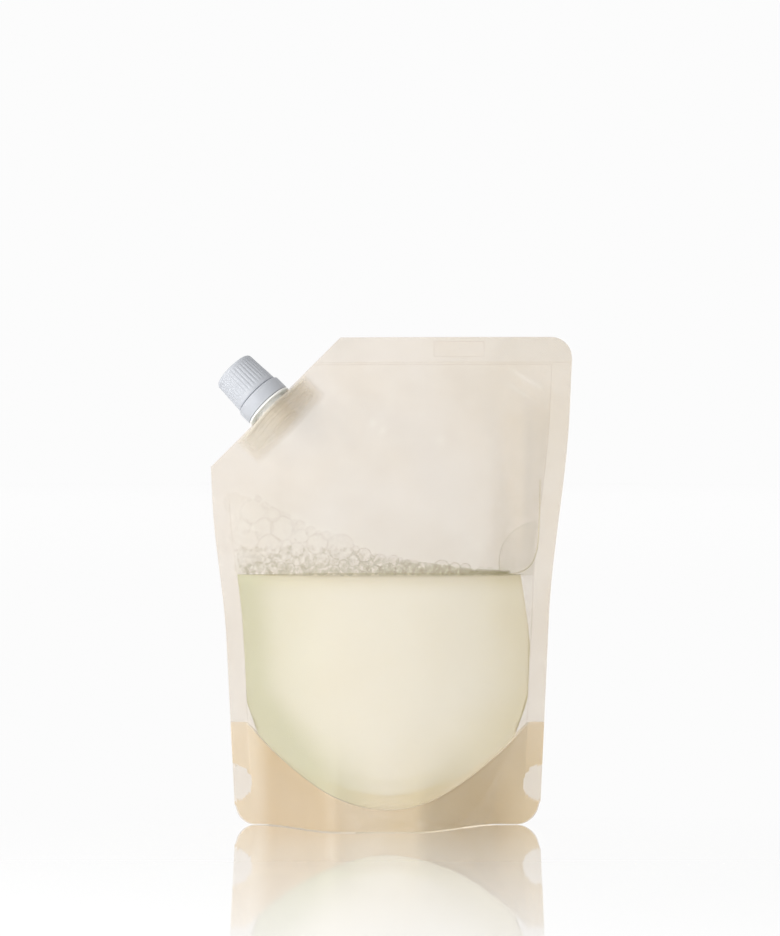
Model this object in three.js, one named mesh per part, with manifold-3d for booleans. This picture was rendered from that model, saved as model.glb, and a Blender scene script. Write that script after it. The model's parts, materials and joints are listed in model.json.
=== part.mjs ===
// A refill pouch for liquid soap: two clear film panels and a folded bottom gusset, sealed
// round their edges, with a moulded spout and a screw cap in the cut-off upper left corner.
// Millimetres, +Z up, +X to the right as the front is seen, +Y to the back.
// The origin is on the floor, under the middle of the pouch.
import * as THREE from 'three';
import { mergeVertices } from 'three/addons/utils/BufferGeometryUtils.js';
import Module from 'manifold-3d';

const wasm = await Module();
wasm.setup();

// Film
const FILM = 0.25;
const LAYER_GAP = 0.04;

// Outline of the standing pouch. Each side edge leaves the floor at the foot's width, leans out
// by its lean for each millimetre of height, and swings out by its flare where the liquid ends.
const POUCH_HEIGHT = 224.3;
const FOOT_WIDTH = 139.8;
const FOOT_CENTRE = -0.4;
const LEFT_LEAN = 0.05;
const LEFT_FLARE = 3.5;
const LEFT_FLARE_FROM = 85;
const LEFT_FLARE_TO = 150;
const RIGHT_LEAN = 0.045;
const RIGHT_FLARE = 5.3;
const RIGHT_FLARE_FROM = 95;
const RIGHT_FLARE_TO = 190;
const TOP_CORNER_RADIUS = 9.7;
const LEFT_FOOT_RADIUS = 9.3;
const RIGHT_FOOT_RADIUS = 11;

// The sloping edge that carries the spout, and the height that it cuts off the corner
const CORNER_CUT = 59.8;
const SLOPE_ANGLE = THREE.MathUtils.degToRad(45);
const SPOUT_ALONG = 38.8;
const SPOUT_LEAN = THREE.MathUtils.degToRad(10);
const LEAN_REACH = 44;

// Seals
const SIDE_SEAL = 9.2;
const TOP_SEAL = 12.6;
const SLOPE_SEAL = 15;

// How far the filled pouch stands open. At the floor the panels bulge about a middle left of
// the origin, straight for the flat part and closed again short of the side edges.
const HALF_DEPTH = 34.8;
const FOOT_BULGE_CENTRE = -5;
const FOOT_FLAT = 16;
const FOOT_CLOSED = 12.9;
const SHOULDER_REACH = 50;
const NECK_REACH = 30;

// Bottom gusset
const GUSSET_HEIGHT = 47.2;
const GUSSET_SEAL = 10;
const GUSSET_SAG = 1.35;
const PUNCH_RADIUS = 8.5;
const PUNCH_HEIGHT = 19.1;

// Spout, on its own axis, measured from the film's sloping edge
const BORE_RADIUS = 7;
const NECK_RADIUS = 8.2;
const NECK_TOP = 22.5;
const NECK_LIP = 0.5;
const BOAT_LENGTH = 43.4;
const BOAT_HALF_THICKNESS = 9.4;
const BOAT_TIP = 0.5;
const BOAT_TIP_MARGIN = 2;
const BOAT_HEIGHT = 12.3;
const BOAT_INSET = 1.4;
const BOAT_RIBS = 4;
const BOAT_RIB_DEPTH = 0.5;
const BOAT_RIB_DRAFT = 0.08;
const BOAT_CLEARANCE = 0.4;
const FLANGE_RADIUS = 12;
const FLANGE_THICKNESS = 0.8;
const BEAD_RADIUS = 9.2;
const BEAD_HEIGHT = 0.9;

// Thread of the neck and the cap
const THREAD_PITCH = 4;
const THREAD_DEPTH = 0.85;
const THREAD_ROOT_WIDTH = 1.7;
const THREAD_CREST_WIDTH = 0.8;
const THREAD_SINK = 0.3;
const NECK_THREAD_TURNS = 1.8;
const CAP_THREAD_TURNS = 1.1;

// Tamper band and screw cap
const PART_GAP = 0.3;
const BAND_HEIGHT = 6.8;
const BAND_RADIUS = 11.95;
const BAND_BEVEL = 0.6;
const BAND_BORE = 10.2;
const BAND_HOOK = 8.6;
const BAND_HOOK_HEIGHT = 1.3;
const CAP_HEIGHT = 16.6;
const CAP_RADIUS = 11.05;
const CAP_TIP_RADIUS = 10.25;
const CAP_EDGE = 1.7;
const CAP_DISH = 0.4;
const CAP_CAVITY_RADIUS = 9.35;
const CAP_CAVITY_TAPER = 0.15;
const CAP_TOP_GAP = 0.4;
const RIB_COUNT = 36;
const RIB_DEPTH = 0.35;
const RIB_SHARE = 0.5;
const PLUG_RADIUS = 6.7;
const PLUG_WALL = 0.8;
const PLUG_LENGTH = 2.6;

// Contents
const LIQUID_LEVEL = 115;
const CONTENTS_GAP = 0.3;
const CONTENTS_STATION = 0.965;

// The froth on the liquid: its thickness, how it climbs at the left as places of x and rise,
// and the large bubbles as x, rise and radius
const FOAM_THICKNESS = 3.2;
const FOAM_PROFILE = [
  [-90, 33], [-60, 35], [-38, 32], [-25, 22], [-16, 14], [-2, 8], [20, 5], [33, 0], [90, 0],
];
const BUBBLES = [
  [-66, 30, 7], [-53, 32, 6], [-42, 30, 6], [-31, 24, 6], [-22, 17, 5], [-12, 10, 4.5],
  [-3, 7, 4], [7, 5, 3.5], [16, 3.5, 3], [24, 4, 4.2], [70, 5.8, 18.9],
];

// How finely the pieces are divided
const COLUMNS_AT_SPOUT = 12;
const COLUMNS_LEFT = 1;
const COLUMNS_RIGHT = 12;
const SKIRT_ROWS = 4;
const WALL_ROWS = 10;
const SEAL_ROWS = 4;
const SEAL_OVERSHOOT = 2.5;
const CROSSING_STEPS = 9;
const EDGE_STEPS = 14;
const CORNER_STEPS = 6;
const BOAT_STEPS = 14;
const THREAD_STEPS = 20;
const THREAD_FADE_STEPS = 2;
const ROUND_STEPS = 28;
const BUBBLE_STEPS = [12, 8];
const CAP_EDGE_STEPS = [0, 0.6, 1];
const CLEARLY_SHORTER = 0.9;
const CUT_OVERSHOOT = 1;

const V3 = (x, y, z) => new THREE.Vector3(x, y, z);
const { clamp, lerp } = THREE.MathUtils;
const ease = (t) => THREE.MathUtils.smoothstep(t, 0, 1);

// Turns a closed geometry into a solid, and back
function solid(geometry) {
  const bare = geometry.clone();
  bare.deleteAttribute('normal');
  bare.deleteAttribute('uv');
  const merged = mergeVertices(bare, 1e-5);
  return new wasm.Manifold(new wasm.Mesh({
    numProp: 3,
    vertProperties: new Float32Array(merged.attributes.position.array),
    triVerts: new Uint32Array(merged.index.array),
  }));
}

function geometryOf(body) {
  const mesh = body.getMesh();
  const geometry = new THREE.BufferGeometry();
  geometry.setAttribute('position', new THREE.Float32BufferAttribute(mesh.vertProperties, 3));
  geometry.setIndex(new THREE.Uint32BufferAttribute(mesh.triVerts, 1));
  geometry.computeVertexNormals();
  return geometry;
}

function signedVolume(positions, triangles) {
  const [a, b, c] = [V3(), V3(), V3()];
  let total = 0;
  for (let t = 0; t < triangles.length; t += 3) {
    a.fromArray(positions, 3 * triangles[t]);
    b.fromArray(positions, 3 * triangles[t + 1]);
    c.fromArray(positions, 3 * triangles[t + 2]);
    total += a.dot(b.cross(c));
  }
  return total / 6;
}

const frontLength = (p, q) => Math.hypot(p.x - q.x, p.z - q.z);

// A solid through a row of rings of equal length. Each quad is split along the diagonal that
// rises from one ring to the next, or along the other where that is clearly shorter, as seen
// from the front, so that sheets on one grid stay parallel. A ring's points pair off from its
// two ends towards its middle, and the end rings are closed by a ladder between those pairs.
function loft(rings) {
  const count = rings[0].length;
  const positions = rings.flat().flatMap((p) => [p.x, p.y, p.z]);
  const triangles = [];
  for (let i = 0; i + 1 < rings.length; i += 1) {
    for (let k = 0; k < count; k += 1) {
      const next = (k + 1) % count;
      const [p, q] = [i * count + k, i * count + next];
      const [r, s] = [p + count, q + count];
      const quad = [rings[i][k], rings[i][next], rings[i + 1][k], rings[i + 1][next]];
      const upwards = quad[1].z + quad[3].z > quad[0].z + quad[2].z;
      const spans = [frontLength(quad[0], quad[3]), frontLength(quad[1], quad[2])];
      if (!upwards) spans.reverse();
      const rising = spans[1] > CLEARLY_SHORTER * spans[0];
      triangles.push(...(rising === upwards ? [p, r, s, p, s, q] : [p, r, q, r, s, q]));
    }
  }
  const last = (rings.length - 1) * count;
  for (let k = 0; k + 1 < count / 2; k += 1) {
    const [p, q, r, s] = [k, k + 1, count - 1 - k, count - 2 - k];
    triangles.push(p, q, s, p, s, r);
    triangles.push(last + p, last + s, last + q, last + p, last + r, last + s);
  }
  if (signedVolume(positions, triangles) < 0) {
    for (let t = 0; t < triangles.length; t += 3) {
      [triangles[t], triangles[t + 1]] = [triangles[t + 1], triangles[t]];
    }
  }
  const geometry = new THREE.BufferGeometry();
  geometry.setAttribute('position', new THREE.Float32BufferAttribute(positions, 3));
  geometry.setIndex(triangles);
  return geometry;
}

// Where the side edges and the sloping edge run
const leftEdge = (z) => FOOT_CENTRE - FOOT_WIDTH / 2 - LEFT_LEAN * z
  - LEFT_FLARE * ease((z - LEFT_FLARE_FROM) / (LEFT_FLARE_TO - LEFT_FLARE_FROM));
const rightEdge = (z) => FOOT_CENTRE + FOOT_WIDTH / 2 + RIGHT_LEAN * z
  + RIGHT_FLARE * ease((z - RIGHT_FLARE_FROM) / (RIGHT_FLARE_TO - RIGHT_FLARE_FROM));

const shoulderHeight = POUCH_HEIGHT - CORNER_CUT;
const shoulder = new THREE.Vector2(leftEdge(shoulderHeight), shoulderHeight);
const slopeRun = new THREE.Vector2(Math.cos(SLOPE_ANGLE), Math.sin(SLOPE_ANGLE));
const slopeOut = new THREE.Vector2(-slopeRun.y, slopeRun.x);
const slopeHeight = (x) => shoulder.y + (x - shoulder.x) * Math.tan(SLOPE_ANGLE);
const alongSlope = (x, z) => (x - shoulder.x) * slopeRun.x + (z - shoulder.y) * slopeRun.y;
const insideSlope = (x, z) => -(x - shoulder.x) * slopeOut.x - (z - shoulder.y) * slopeOut.y;

// Position across the chamber: -1 on the left side seal's inner line, 1 on the right one's.
// Past those lines it counts in widths of the seal.
function acrossAt(station, z) {
  const [low, high] = [leftEdge(z) + SIDE_SEAL, rightEdge(z) - SIDE_SEAL];
  const inside = lerp(low, high, (clamp(station, -1, 1) + 1) / 2);
  return inside + (station - clamp(station, -1, 1)) * SIDE_SEAL;
}

function stationAt(x, z) {
  const [low, high] = [leftEdge(z) + SIDE_SEAL, rightEdge(z) - SIDE_SEAL];
  const station = (2 * x - low - high) / (high - low);
  return clamp(station, -1, 1);
}

// Half the boat's thickness at a place along it
function boatHalf(along) {
  const t = clamp(along / (BOAT_LENGTH / 2), -1, 1);
  return BOAT_TIP + (BOAT_HALF_THICKNESS - BOAT_TIP) * Math.cos((Math.PI / 2) * t) ** 2;
}

// The film stands off the spout's boat and closes just past its tips
function filmAtBoat(along) {
  const past = Math.abs(along) - BOAT_LENGTH / 2;
  const closing = 1 - ease(past / BOAT_TIP_MARGIN);
  return (boatHalf(along) + BOAT_CLEARANCE) * closing / Math.cos(SPOUT_LEAN);
}

// Half the chamber's depth at a place on the panel, 0 in the seals
const topInner = POUCH_HEIGHT - TOP_SEAL;
const footReach = FOOT_WIDTH / 2 - FOOT_CLOSED;
function chamberHalf(x, z) {
  const station = stationAt(x, z);
  const rise = clamp((z - GUSSET_SEAL) / (topInner - GUSSET_SEAL), 0, 1);
  const foot = (Math.abs(x - FOOT_BULGE_CENTRE) - FOOT_FLAT) / (footReach - FOOT_FLAT);
  const bell = (1 + Math.cos(Math.PI * clamp(foot, 0, 1))) / 2;
  const lens = 1 - station * station;
  const section = lerp(bell, lens, ease(z / GUSSET_HEIGHT));
  const inside = insideSlope(x, z) - SLOPE_SEAL;
  const opening = 1 - (1 - clamp(inside / SHOULDER_REACH, 0, 1)) ** 2;
  const neck = filmAtBoat(alongSlope(x, z) - SPOUT_ALONG) * (1 - ease(inside / NECK_REACH));
  return HALF_DEPTH * (1 - rise * rise) * section * opening + neck;
}

// Where the two panels would meet: upright, and leaning back towards the spout
function middle(x, z) {
  const into = insideSlope(x, z);
  const bend = clamp((SLOPE_SEAL + LEAN_REACH - into) / LEAN_REACH, 0, 1);
  const straight = Math.max(0, SLOPE_SEAL - into);
  return Math.tan(SPOUT_LEAN) * ((bend * bend * LEAN_REACH) / 2 + straight);
}

// The panel's inner face: half the chamber's depth, and room for the gusset's two layers
function innerHalf(x, z, twoLayers) {
  const room = twoLayers ? LAYER_GAP / 2 : FILM + 1.5 * LAYER_GAP;
  return chamberHalf(x, z) + room;
}

// The curved seal between a panel and the gusset
const gussetSeal = (station) => lerp(GUSSET_SEAL, GUSSET_HEIGHT, clamp(station * station, 0, 1));

function topLine(station, edge) {
  let z = POUCH_HEIGHT;
  for (let pass = 0; pass < 4; pass += 1) {
    const x = acrossAt(station, z);
    const slope = slopeHeight(x) + (edge ? SEAL_OVERSHOOT : -SLOPE_SEAL) / Math.cos(SLOPE_ANGLE);
    z = Math.min(edge ? POUCH_HEIGHT + SEAL_OVERSHOOT : topInner, slope);
  }
  return z;
}

// Places on a panel along one column of its grid, from the floor to past the edge. Rows follow
// the gusset's curved seal and the inner lines of the top and sloping seals.
function columnPlaces(station) {
  const marks = [0, gussetSeal(station), topLine(station, false), topLine(station, true)];
  const rows = [SKIRT_ROWS, WALL_ROWS, SEAL_ROWS];
  const heights = [0];
  rows.forEach((count, band) => {
    for (let k = 1; k <= count; k += 1) heights.push(lerp(marks[band], marks[band + 1], k / count));
  });
  return heights.map((z, row) => {
    const x = acrossAt(station, z);
    return { x, z, y: middle(x, z), half: innerHalf(x, z, row > SKIRT_ROWS) };
  });
}

function spread(from, to, count) {
  return Array.from({ length: count }, (_, k) => lerp(from, to, k / count));
}

const spoutPlace = shoulder.clone().addScaledVector(slopeRun, SPOUT_ALONG);
const spoutReach = (BOAT_LENGTH / 2 + BOAT_TIP_MARGIN) * slopeRun.x;
const spoutStations = [-1, 1].map((side) => stationAt(spoutPlace.x + side * spoutReach, spoutPlace.y));
const chamberStations = [
  -1,
  ...spread(-CONTENTS_STATION, spoutStations[0], COLUMNS_LEFT),
  ...spread(spoutStations[0], spoutStations[1], COLUMNS_AT_SPOUT),
  ...spread(spoutStations[1], CONTENTS_STATION, COLUMNS_RIGHT),
  CONTENTS_STATION,
  1,
];
const sealEnd = 1 + (SIDE_SEAL + SEAL_OVERSHOOT) / SIDE_SEAL;
const stations = [-sealEnd, -1.5, ...chamberStations, 1.5, sealEnd];
const columns = stations.map(columnPlaces);

// The upright outline, open above the sloping edge, as a block through the pouch
function outlineBlock() {
  const shape = new THREE.Shape();
  const feet = [leftEdge(0) + LEFT_FOOT_RADIUS, rightEdge(0) - RIGHT_FOOT_RADIUS];
  const rightTop = rightEdge(POUCH_HEIGHT - TOP_CORNER_RADIUS);
  const beyond = SEAL_OVERSHOOT + SIDE_SEAL;
  shape.moveTo(feet[0], -beyond);
  shape.lineTo(feet[1], -beyond);
  shape.lineTo(feet[1], 0);
  shape.quadraticCurveTo(rightEdge(0), 0, rightEdge(RIGHT_FOOT_RADIUS), RIGHT_FOOT_RADIUS);
  for (let k = 1; k <= EDGE_STEPS; k += 1) {
    const z = lerp(RIGHT_FOOT_RADIUS, POUCH_HEIGHT - TOP_CORNER_RADIUS, k / EDGE_STEPS);
    shape.lineTo(rightEdge(z), z);
  }
  shape.quadraticCurveTo(rightTop, POUCH_HEIGHT, rightTop - TOP_CORNER_RADIUS, POUCH_HEIGHT);
  shape.lineTo(leftEdge(POUCH_HEIGHT) - beyond, POUCH_HEIGHT);
  shape.lineTo(shoulder.x - beyond, shoulderHeight + beyond);
  shape.lineTo(leftEdge(shoulderHeight + SEAL_OVERSHOOT), shoulderHeight + SEAL_OVERSHOOT);
  for (let k = 0; k <= EDGE_STEPS; k += 1) {
    const z = lerp(shoulderHeight, LEFT_FOOT_RADIUS, k / EDGE_STEPS);
    shape.lineTo(leftEdge(z), z);
  }
  shape.quadraticCurveTo(leftEdge(0), 0, feet[0], 0);
  const depth = 4 * HALF_DEPTH;
  const options = { depth, bevelEnabled: false, curveSegments: CORNER_STEPS };
  const block = new THREE.ExtrudeGeometry(shape, options);
  return solid(block.rotateX(Math.PI / 2).translate(0, depth / 2, 0));
}

// The spout's own axes: along the slope, across the film and outwards
const spoutOrigin = V3(spoutPlace.x, middle(spoutPlace.x, spoutPlace.y), spoutPlace.y);
const spoutAlong = V3(slopeRun.x, 0, slopeRun.y);
const spoutOut = V3(slopeOut.x, 0, slopeOut.y).multiplyScalar(Math.cos(SPOUT_LEAN));
spoutOut.y = Math.sin(SPOUT_LEAN);
const spoutAcross = spoutOut.clone().cross(spoutAlong);
const spoutTurn = new THREE.Matrix4().makeBasis(spoutAlong, spoutAcross, spoutOut);

// All that lies outwards of the sloping edge
function slopeCut() {
  const size = 4 * HALF_DEPTH;
  const block = new THREE.BoxGeometry(2 * size, size, size).translate(0, 0, size / 2);
  return solid(block.applyMatrix4(spoutTurn).translate(...spoutOrigin.toArray()));
}

const outline = outlineBlock().subtract(slopeCut());

// A panel: the same grid twice, a film's thickness apart
function panel(side) {
  const rings = columns.map((places) => {
    const inner = places.map((p) => V3(p.x, p.y + side * p.half, p.z));
    const outer = places.map((p) => V3(p.x, p.y + side * (p.half + FILM), p.z));
    return [...inner, ...outer.reverse()];
  });
  return solid(loft(rings)).intersect(outline);
}

// The gusset's free sheet between the two curved seals hangs down to the floor
function crossing(places, y) {
  const { z, half } = places[SKIRT_ROWS];
  const reach = half - LAYER_GAP;
  const length = GUSSET_HEIGHT - z;
  const slack = Math.max(0, 1.5 * reach * (length - reach));
  const share = clamp(y / reach, -1, 1);
  return Math.max(FILM, z - GUSSET_SAG * Math.sqrt(slack) * (1 - share * share));
}

function bottomGusset() {
  const rings = columns.map((places) => {
    const skirt = places.slice(0, SKIRT_ROWS + 1);
    const seal = skirt[SKIRT_ROWS];
    const reach = seal.half - LAYER_GAP;
    const below = reach - FILM;
    const steps = spread(-1, 1, CROSSING_STEPS).slice(1);
    const outerWing = skirt.map((p) => V3(p.x, p.half - LAYER_GAP, p.z));
    const innerWing = skirt.map((p) => V3(p.x, p.half - LAYER_GAP - FILM, p.z));
    innerWing[SKIRT_ROWS] = V3(seal.x, below, crossing(places, below) - FILM);
    const over = steps.map((t) => V3(seal.x, t * reach, crossing(places, t * reach)));
    const under = steps.map((t) => V3(seal.x, t * below, crossing(places, t * below) - FILM));
    const front = (points) => points.map((p) => V3(p.x, -p.y, p.z));
    return [
      ...front(outerWing), ...over, ...outerWing.reverse(),
      ...innerWing, ...under.reverse(), ...front(innerWing).reverse(),
    ];
  });
  const edges = [leftEdge(PUNCH_HEIGHT), rightEdge(PUNCH_HEIGHT)];
  return edges.reduce((body, x) => {
    const punch = new THREE.CylinderGeometry(PUNCH_RADIUS, PUNCH_RADIUS, 4 * FILM, ROUND_STEPS);
    return body.subtract(solid(punch.translate(x, 0, PUNCH_HEIGHT)));
  }, solid(loft(rings)).intersect(outline));
}

// Inside the pouch, a small gap off the film: bounded by the panels and the hanging gusset
function contentsSpace() {
  const rings = chamberStations.slice(1, -1).map((station) => {
    const places = columnPlaces(station);
    const wall = places.slice(SKIRT_ROWS, SKIRT_ROWS + WALL_ROWS);
    const reach = wall[0].half - CONTENTS_GAP;
    const floor = spread(-1, 1, CROSSING_STEPS).filter((t) => t > 0).map((t) => t * reach);
    const side = [
      ...floor.map((y) => ({ ...wall[0], half: y, z: crossing(places, y) + CONTENTS_GAP })),
      { ...wall[0], half: reach, z: crossing(places, reach) + CONTENTS_GAP },
      ...wall.slice(1).map((p) => ({ ...p, half: p.half - CONTENTS_GAP })),
    ];
    const back = side.map((p) => V3(p.x, p.y + Math.max(p.half, LAYER_GAP), p.z));
    const front = side.map((p) => V3(p.x, p.y - Math.max(p.half, LAYER_GAP), p.z));
    return [...front, ...back.reverse()];
  });
  return solid(loft(rings));
}

function slab(from, to) {
  const size = 4 * POUCH_HEIGHT;
  return solid(new THREE.BoxGeometry(size, size, to - from).translate(0, 0, (from + to) / 2));
}

const contents = contentsSpace();
const liquid = contents.intersect(slab(-POUCH_HEIGHT, LIQUID_LEVEL));

// The foam: a thin froth over the liquid that climbs at the left, with large bubbles on top
function foamBody() {
  const base = LIQUID_LEVEL + CONTENTS_GAP;
  const depth = 4 * HALF_DEPTH;
  const profile = new THREE.Shape();
  profile.moveTo(FOAM_PROFILE.at(-1)[0], base);
  profile.lineTo(FOAM_PROFILE[0][0], base);
  for (const [x, rise] of FOAM_PROFILE) profile.lineTo(x, base + FOAM_THICKNESS + rise);
  const froth = new THREE.ExtrudeGeometry(profile, { depth, bevelEnabled: false });
  const bubbles = BUBBLES.map(([x, rise, radius]) => {
    const ball = new THREE.SphereGeometry(radius, ...BUBBLE_STEPS);
    return solid(ball.rotateX(Math.PI / 2).translate(x, 0, base + rise));
  });
  return bubbles.reduce(
    (body, bubble) => body.add(bubble),
    solid(froth.rotateX(Math.PI / 2).translate(0, depth / 2, 0)),
  ).intersect(slab(base, POUCH_HEIGHT)).intersect(contents);
}

// A turned piece: its outline of radius and height, from the axis and back to it
function turned(outlinePoints) {
  const points = outlinePoints.map(([radius, height]) => new THREE.Vector2(radius, height));
  return solid(new THREE.LatheGeometry(points, ROUND_STEPS).rotateX(Math.PI / 2));
}

// A ridge wound on a cylinder: its crest points outwards, or inwards with a negative depth
function threadRidge(rootRadius, depth, from, startAngle, turns) {
  const steps = Math.ceil(turns * THREAD_STEPS);
  const sink = Math.sign(depth) * THREAD_SINK;
  const rings = Array.from({ length: steps + 1 }, (_, k) => {
    const angle = 2 * Math.PI * turns * (k / steps);
    const height = from + (THREAD_PITCH * angle) / (2 * Math.PI);
    const fade = Math.min(1, k / THREAD_FADE_STEPS, (steps - k) / THREAD_FADE_STEPS);
    const crest = rootRadius + depth * fade;
    const corners = [
      [rootRadius - sink, -THREAD_ROOT_WIDTH / 2], [rootRadius, -THREAD_ROOT_WIDTH / 2],
      [crest, -THREAD_CREST_WIDTH / 2], [crest, THREAD_CREST_WIDTH / 2],
      [rootRadius, THREAD_ROOT_WIDTH / 2], [rootRadius - sink, THREAD_ROOT_WIDTH / 2],
    ];
    return corners.map(([radius, up]) => V3(
      radius * Math.cos(startAngle + angle),
      radius * Math.sin(startAngle + angle),
      height + up,
    ));
  });
  return solid(loft(rings));
}

// Heights along the spout's axis, outwards from the film's edge
const flangeFrom = PART_GAP;
const flangeTo = flangeFrom + FLANGE_THICKNESS;
const bandFrom = flangeTo + PART_GAP;
const bandTo = bandFrom + BAND_HEIGHT;
const beadFrom = bandFrom + BAND_HOOK_HEIGHT + PART_GAP;
const capFrom = bandTo + PART_GAP;
const capTo = capFrom + CAP_HEIGHT;
const cavityTop = NECK_TOP + CAP_TOP_GAP;
const neckThreadFrom = capFrom + THREAD_ROOT_WIDTH;

// The weld base: a boat-shaped section with ribs that run along the seal
function boat() {
  const half = BOAT_LENGTH / 2;
  const bands = 2 * BOAT_RIBS - 1;
  const band = BOAT_HEIGHT / bands;
  const bottom = -BOAT_INSET - BOAT_HEIGHT;
  const ringAt = (height, inset) => {
    const side = spread(-half, half, BOAT_STEPS).concat(half).map((along) => (
      V3(along, Math.max(boatHalf(along) - inset, BOAT_TIP / 2), height)));
    return [...side, ...side.map((p) => V3(p.x, -p.y, p.z)).reverse()];
  };
  const rings = [];
  for (let k = 0; k < bands; k += 1) {
    const inset = k % 2 ? BOAT_RIB_DEPTH : 0;
    const [low, high] = [k + BOAT_RIB_DRAFT, k + 1 - BOAT_RIB_DRAFT];
    rings.push(ringAt(bottom + low * band, inset), ringAt(bottom + high * band, inset));
  }
  return solid(loft(rings));
}

function spoutBody() {
  const neck = turned([
    [0, -BOAT_INSET - FLANGE_THICKNESS], [NECK_RADIUS, -BOAT_INSET - FLANGE_THICKNESS],
    [NECK_RADIUS, flangeFrom], [FLANGE_RADIUS, flangeFrom], [FLANGE_RADIUS, flangeTo],
    [NECK_RADIUS, flangeTo], [NECK_RADIUS, beadFrom], [BEAD_RADIUS, beadFrom],
    [NECK_RADIUS, beadFrom + BEAD_HEIGHT], [NECK_RADIUS, NECK_TOP - NECK_LIP],
    [NECK_RADIUS - NECK_LIP, NECK_TOP], [0, NECK_TOP],
  ]);
  const length = BOAT_HEIGHT + BOAT_INSET + NECK_TOP + 2 * CUT_OVERSHOOT;
  const bore = new THREE.CylinderGeometry(BORE_RADIUS, BORE_RADIUS, length, ROUND_STEPS);
  bore.rotateX(Math.PI / 2).translate(0, 0, NECK_TOP + CUT_OVERSHOOT - length / 2);
  const ridge = threadRidge(NECK_RADIUS, THREAD_DEPTH, neckThreadFrom, 0, NECK_THREAD_TURNS);
  return boat().add(neck).add(ridge).subtract(solid(bore));
}

function tamperBandBody() {
  return turned([
    [BAND_HOOK, bandFrom], [BAND_RADIUS, bandFrom], [BAND_RADIUS, bandTo - BAND_BEVEL],
    [BAND_RADIUS - BAND_BEVEL, bandTo], [BAND_BORE, bandTo],
    [BAND_BORE, bandFrom + BAND_HOOK_HEIGHT + PART_GAP],
    [BAND_HOOK, bandFrom + BAND_HOOK_HEIGHT], [BAND_HOOK, bandFrom],
  ]);
}

// The cap's outside, ribbed up to its rounded edge, with a slightly dished top
function capBody() {
  const ringAt = (radius, height, ribs) => {
    const ring = [];
    for (let k = 0; k < RIB_COUNT; k += 1) {
      for (const [turn, depth] of [[0, 0], [RIB_SHARE, 0], [(1 + RIB_SHARE) / 2, 1]]) {
        const angle = (2 * Math.PI * (k + turn)) / RIB_COUNT;
        const at = radius - depth * ribs;
        ring.push(V3(at * Math.cos(angle), at * Math.sin(angle), height));
      }
    }
    return ring;
  };
  const rounding = CAP_EDGE_STEPS.map((t) => ringAt(
    CAP_TIP_RADIUS - CAP_EDGE * (1 - Math.sqrt(1 - t * t)),
    capTo - CAP_EDGE * (1 - t),
    RIB_DEPTH * (1 - t),
  ));
  const rim = CAP_TIP_RADIUS - CAP_EDGE;
  const outside = solid(loft([
    ringAt(CAP_RADIUS, capFrom, 0),
    ringAt(CAP_RADIUS, capFrom + RIB_DEPTH, RIB_DEPTH),
    ...rounding,
    ringAt(rim - 2 * CAP_DISH, capTo - CAP_DISH, 0),
  ]));
  const cavity = turned([
    [0, capFrom - CUT_OVERSHOOT], [CAP_CAVITY_RADIUS, capFrom - CUT_OVERSHOOT],
    [CAP_CAVITY_RADIUS, capFrom],
    [CAP_CAVITY_RADIUS - CAP_CAVITY_TAPER, cavityTop], [0, cavityTop],
  ]);
  const plug = turned([
    [PLUG_RADIUS - PLUG_WALL, cavityTop - PLUG_LENGTH], [PLUG_RADIUS, cavityTop - PLUG_LENGTH],
    [PLUG_RADIUS, cavityTop + THREAD_SINK], [PLUG_RADIUS - PLUG_WALL, cavityTop + THREAD_SINK],
    [PLUG_RADIUS - PLUG_WALL, cavityTop - PLUG_LENGTH],
  ]);
  const ridge = threadRidge(
    CAP_CAVITY_RADIUS - CAP_CAVITY_TAPER / 2, -THREAD_DEPTH,
    neckThreadFrom, Math.PI, CAP_THREAD_TURNS,
  );
  return outside.subtract(cavity).add(plug).add(ridge);
}

// Finishes
const film = new THREE.MeshStandardMaterial({
  color: 0xe6ded0, roughness: 0.3, transparent: true, opacity: 0.35,
});
const gussetFilm = new THREE.MeshStandardMaterial({
  color: 0xdcc9a8, roughness: 0.35, transparent: true, opacity: 0.6,
});
const natural = new THREE.MeshStandardMaterial({ color: 0xd9cfb8, roughness: 0.45 });
const white = new THREE.MeshStandardMaterial({ color: 0xdde2ea, roughness: 0.4 });
const wash = new THREE.MeshStandardMaterial({ color: 0xe8e2c4, roughness: 0.1 });
const froth = new THREE.MeshStandardMaterial({ color: 0xe2dccb, roughness: 0.3 });

function piece(name, body, material) {
  const mesh = new THREE.Mesh(geometryOf(body), material);
  mesh.name = name;
  return mesh;
}

const closure = new THREE.Group();
closure.position.copy(spoutOrigin);
closure.quaternion.setFromRotationMatrix(spoutTurn);
closure.add(
  piece('spout', spoutBody(), natural),
  piece('tamper_band', tamperBandBody(), white),
  piece('screw_cap', capBody(), white),
);

const pouch = new THREE.Group();
pouch.add(
  piece('front_panel', panel(-1), film),
  piece('back_panel', panel(1), film),
  piece('bottom_gusset', bottomGusset(), gussetFilm),
  piece('body_wash', liquid, wash),
  piece('foam', foamBody(), froth),
  closure,
);

export default pouch;
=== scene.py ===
import json
import math
import random

import bmesh
import bpy
from mathutils import Matrix, Vector, noise


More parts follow.
